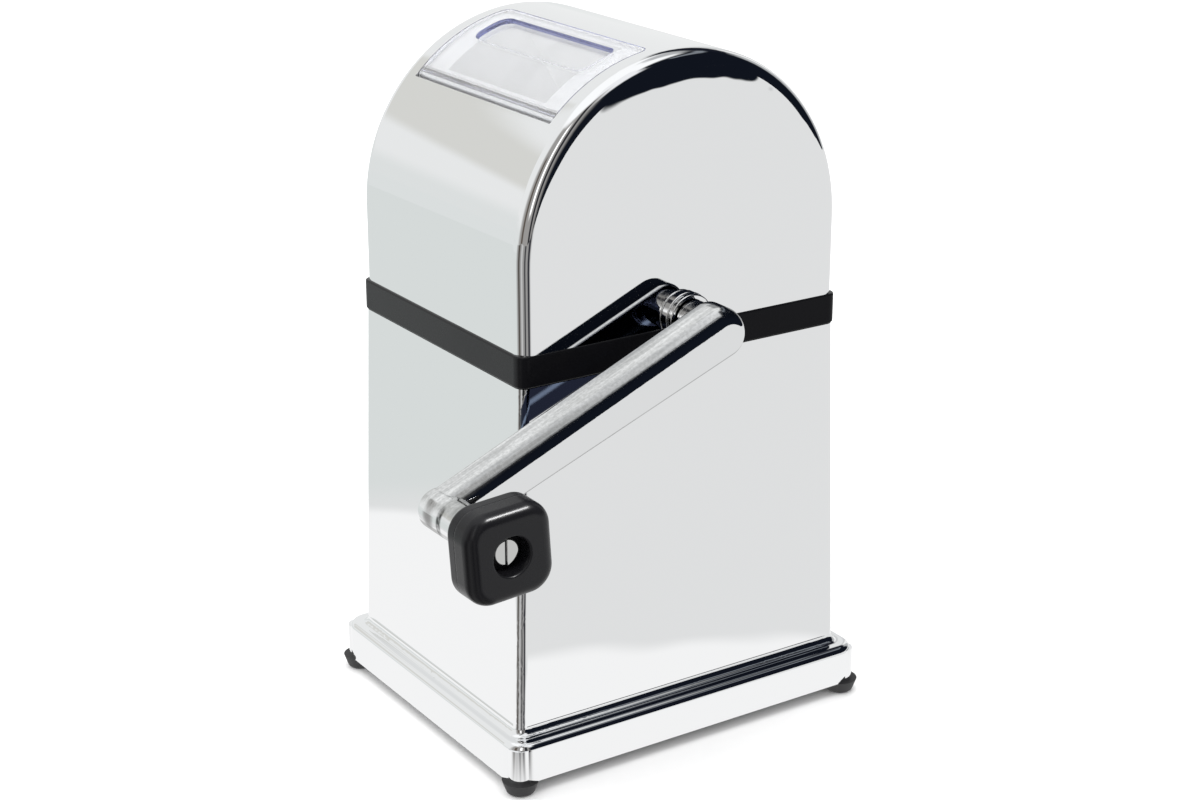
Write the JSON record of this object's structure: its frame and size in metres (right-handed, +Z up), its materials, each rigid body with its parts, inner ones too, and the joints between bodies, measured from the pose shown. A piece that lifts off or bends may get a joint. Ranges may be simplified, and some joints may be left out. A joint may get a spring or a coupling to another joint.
{
  "type": "manual ice crusher",
  "caption": "Hand-cranked shaved and crushed ice machine: a chromed casing with a domed lift-off head, a clear hinged lid, a toothed rotor, a side crank with a knob and an inner ice bin.",
  "frame": {"origin": "on the table, under the middle of the base flange", "axes": "+Z up; -Y towards the front, where the crank is; -X towards the lid on the dome's left shoulder"},
  "size_m": [0.2051, 0.1845, 0.26],
  "materials": {
    "chromed_shell": "mirror chrome plating on moulded plastic",
    "chromed_metal": "polished chrome plating on metal",
    "steel": "bright stainless steel",
    "black_plastic": "satin black",
    "hopper_plastic": "satin white",
    "bin_plastic": "satin pale grey",
    "bush_plastic": "natural nylon",
    "knob_plastic": "satin charcoal",
    "clear_plastic": "clear, polished, with a faint violet tint",
    "foot_rubber": "matt dark grey"
  },
  "bodies": {
    "base": {"lower_casing": "chromed_shell", "ice_bin": "bin_plastic", "bottom_plate": "black_plastic", "plate_screws": "steel", "foot_front_left": "foot_rubber", "foot_front_right": "foot_rubber", "foot_rear_left": "foot_rubber", "foot_rear_right": "foot_rubber", "foot_screws": "steel"},
    "head": {"seam_band": "black_plastic", "chassis": "black_plastic", "dome_shell": "chromed_shell", "dome_screws": "steel", "hopper": "hopper_plastic", "front_bush": "bush_plastic", "rear_bush": "bush_plastic", "comb_left": "steel", "comb_right": "steel", "shaft_boss": "chromed_metal", "lid_hinge_pin": "steel"},
    "crank": {"drive_shaft": "steel", "rotor_blades": "steel", "rotor_spacers": "steel", "retaining_clip": "steel", "crank_arm": "chromed_metal", "arm_set_screw": "steel", "knob_spindle": "chromed_metal"},
    "knob": {"knob": "knob_plastic"},
    "lid": {"lid": "clear_plastic"}
  },
  "joints": [
    {"name": "head_lift", "type": "slide", "parent": "base", "child": "head", "axis": [0, 0, 1], "range_m": [0, 0.12]},
    {"name": "crank_spin", "type": "hinge", "parent": "head", "child": "crank", "pos_m": [0, 0, 0.1652], "axis": [0, -1, 0], "continuous": true},
    {"name": "knob_spin", "type": "hinge", "parent": "crank", "child": "knob", "pos_m": [-0.10876, 0, 0.12126], "axis": [0, -1, 0], "continuous": true},
    {"name": "lid_swing", "type": "hinge", "parent": "head", "child": "lid", "pos_m": [-0.04578, 0, 0.23899], "axis": [0, -1, 0], "range_deg": [0, 90]}
  ]
}
